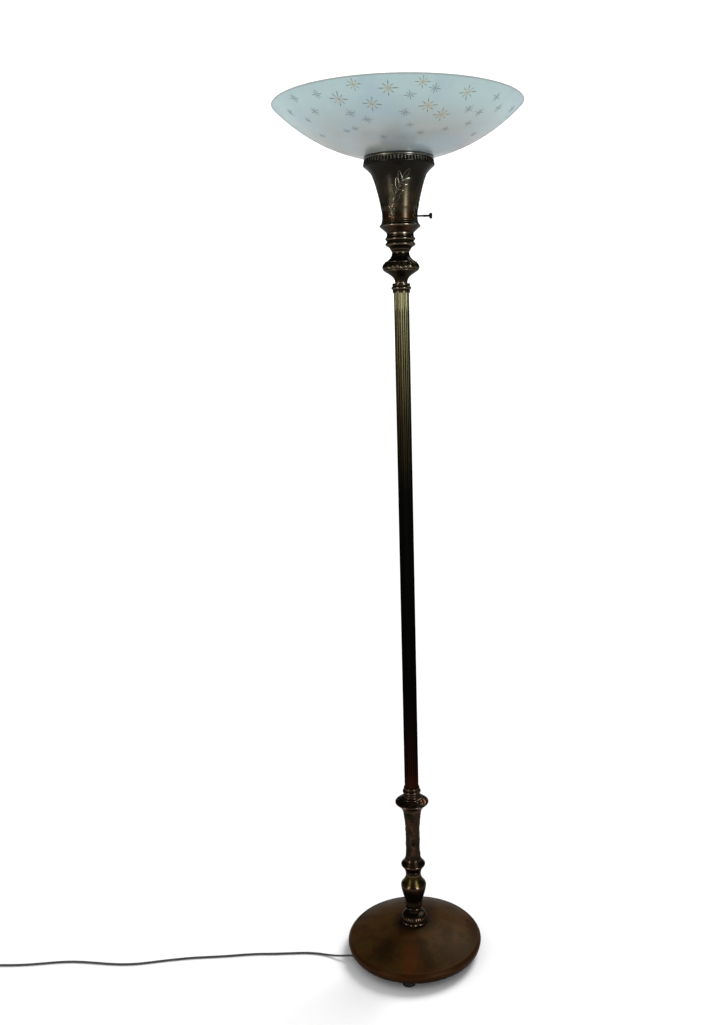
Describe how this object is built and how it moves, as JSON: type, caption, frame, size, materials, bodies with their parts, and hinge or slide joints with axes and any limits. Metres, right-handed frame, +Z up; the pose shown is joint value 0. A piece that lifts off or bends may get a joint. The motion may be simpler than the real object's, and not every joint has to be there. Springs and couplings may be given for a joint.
{
  "type": "torchiere floor lamp",
  "caption": "Torchiere floor lamp: a frosted glass bowl with etched gold stars on a flared husk, a slender reeded metal stem with cast knops, and a weighted round base.",
  "frame": {"origin": "on the floor at the lamp's axis, where the feet rest", "axes": "+Z up along the stem, +X towards the switch knob, -Y towards the viewer; the cord leaves towards -X"},
  "size_m": [1.1626, 0.4432, 1.6501],
  "materials": {
    "cast_bronze": "dark brown patina over cast metal, brass showing on the high edges",
    "spun_bronze": "dark olive brown lacquered sheet metal, mottled, worn to red brown near the edge",
    "tube_bronze": "reeded tube, olive brass at the top darkening downwards to red brown",
    "aged_brass": "aged brass with dark patina in the hollows",
    "bright_brass": "plain brass, lightly tarnished",
    "cast_iron": "rough black iron",
    "plated_steel": "zinc plated",
    "frosted_glass": "frosted pale blue-green glass with etched gold stars",
    "bulb_glass": "white coated bulb glass",
    "bakelite": "black moulded",
    "rubber": "black rubber",
    "cord_cover": "dark grey plastic covering",
    "fibre": "grey-brown card insulation",
    "felt": "dark felt",
    "porcelain": "glazed ceramic"
  },
  "bodies": {
    "lamp": {"base_weight": "cast_iron", "base_shell": "spun_bronze", "base_washer": "plated_steel", "base_nut": "plated_steel", "cord_gland": "rubber", "cord_clamp": "plated_steel", "clamp_screw": "plated_steel", "inner_cord": "cord_cover", "lobed_ring": "cast_bronze", "bell_foot": "cast_bronze", "fluted_vase": "cast_bronze", "vase_collar": "aged_brass", "ring_knop": "cast_bronze", "leaf_column": "cast_bronze", "disc_knop": "cast_bronze", "lower_ferrule": "cast_bronze", "reeded_tube": "tube_bronze", "upper_ferrule": "cast_bronze", "upper_knop": "cast_bronze", "double_ring": "cast_bronze", "lamp_pipe": "plated_steel", "pipe_nut": "plated_steel", "husk": "aged_brass", "ribbed_band": "cast_bronze", "gallery": "aged_brass", "shade_seat_ring": "felt", "socket_cap": "bright_brass", "socket_shell": "bright_brass", "socket_liner": "fibre", "socket_body": "porcelain", "screw_shell": "bright_brass", "centre_contact": "bright_brass", "cord_run": "cord_cover", "cord_coil": "cord_cover", "cord_tie": "rubber", "cord_lead": "cord_cover", "plug_body": "bakelite", "plug_blade_1": "bright_brass", "plug_blade_2": "bright_brass", "foot_1": "rubber", "foot_screw_1": "plated_steel", "foot_2": "rubber", "foot_screw_2": "plated_steel", "foot_3": "rubber", "foot_screw_3": "plated_steel", "foot_4": "rubber", "foot_screw_4": "plated_steel"},
    "switch": {"switch_shaft": "bright_brass", "switch_knob": "bakelite"},
    "shade": {"glass_shade": "frosted_glass"},
    "bulb_carrier": {"bulb_contact": "plated_steel"},
    "bulb": {"bulb_cap": "plated_steel", "bulb_glass": "bulb_glass"}
  },
  "joints": [
    {"name": "switch_turn", "type": "hinge", "parent": "lamp", "child": "switch", "pos_m": [0.05, 0, 1.4623], "axis": [1, 0, 0], "continuous": true},
    {"name": "shade_lift", "type": "slide", "parent": "lamp", "child": "shade", "axis": [0, 0, 1], "range_m": [0, 0.075]},
    {"name": "bulb_rise", "type": "slide", "parent": "lamp", "child": "bulb_carrier", "axis": [0, 0, 1], "range_m": [0, 0.0182]},
    {"name": "bulb_turn", "type": "hinge", "parent": "bulb_carrier", "child": "bulb", "pos_m": [0, 0, 1.5], "axis": [0, 0, 1], "range_deg": [0, 1800]}
  ],
  "couplings": [
    {"joint": "bulb_rise", "follows": "bulb_turn", "m_per_rad": 0.00057757}
  ]
}
